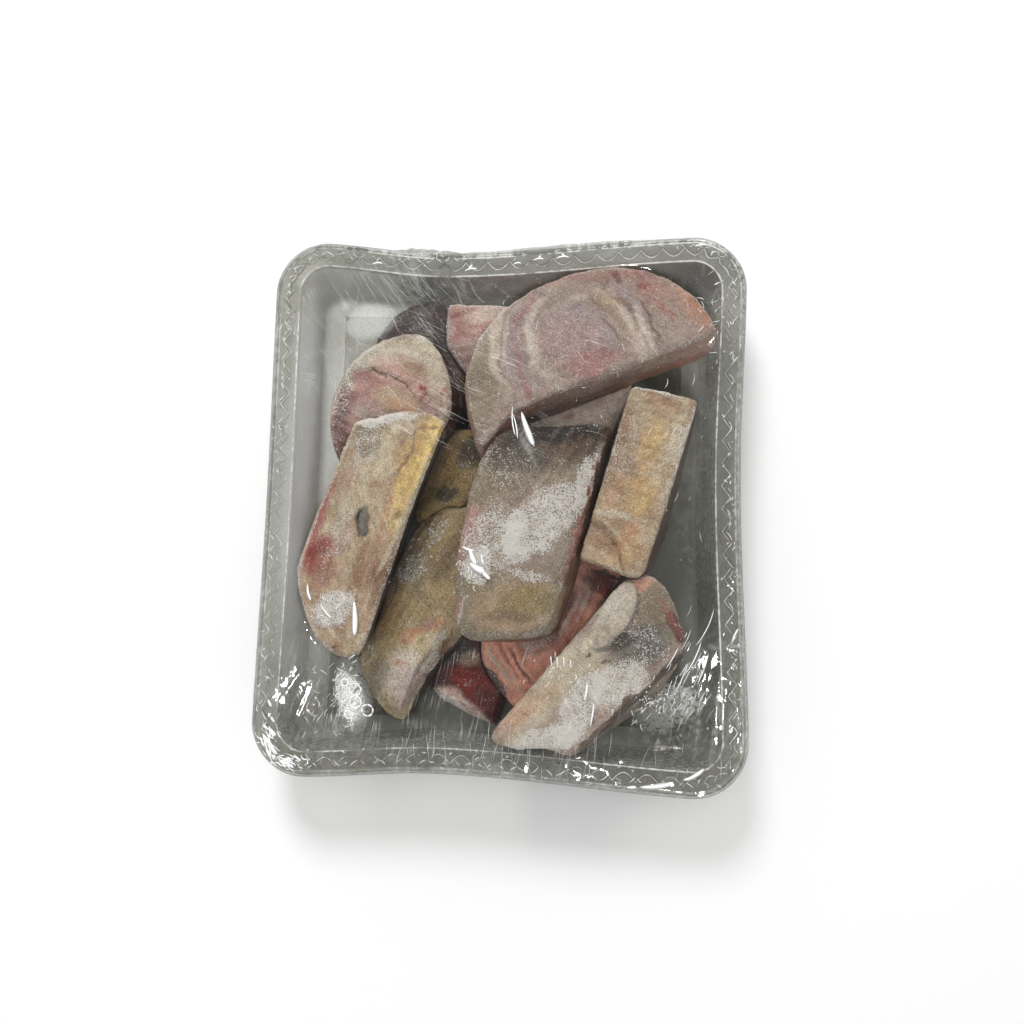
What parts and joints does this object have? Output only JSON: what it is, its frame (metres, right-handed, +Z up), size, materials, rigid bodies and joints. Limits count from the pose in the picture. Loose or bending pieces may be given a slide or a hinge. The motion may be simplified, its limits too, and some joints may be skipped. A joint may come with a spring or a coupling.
{
  "type": "tray of frozen cow foot pieces",
  "caption": "Clear plastic food tray, overwrapped with clear stretch film, holding frozen, frosty, sawn pieces of raw cow foot.",
  "frame": {"origin": "centre of the pack's footprint, on the plane it rests on", "axes": "+Z up, +Y along the tray's length towards the back of the pictured pack, +X across it to the right"},
  "size_m": [0.2053, 0.2365, 0.0586],
  "materials": {
    "clear_tray": "clear, faintly smoky, glossy",
    "clear_film": "clear, glossy, taut with fine creases",
    "frosted_skin": "frosty skin with clipped hair",
    "frozen_cut_face": "frosty sawn bone and tendon",
    "frozen_fat": "frosty sawn yellow fat and tendon",
    "frozen_cartilage": "frosty sawn cartilage",
    "olive_skin": "damp skin with short hair",
    "dark_skin": "dark skin with frost flecks",
    "red_flesh": "frozen raw flesh"
  },
  "bodies": {
    "root": {"tray": "clear_tray", "film": "clear_film", "skin_block_centre": "frosted_skin", "half_slice_top": "frozen_cut_face", "strip_left": "frozen_fat", "strip_right": "frozen_fat", "strip_front": "frozen_cartilage", "knuckle_slice": "frozen_cut_face", "olive_skin_lower": "olive_skin", "olive_skin_upper": "olive_skin", "dark_skin_block": "dark_skin", "pink_block_back": "frozen_cut_face", "pale_pink_piece": "frozen_cut_face", "red_flesh_block": "red_flesh", "dark_red_piece": "red_flesh"}
  },
  "joints": []
}
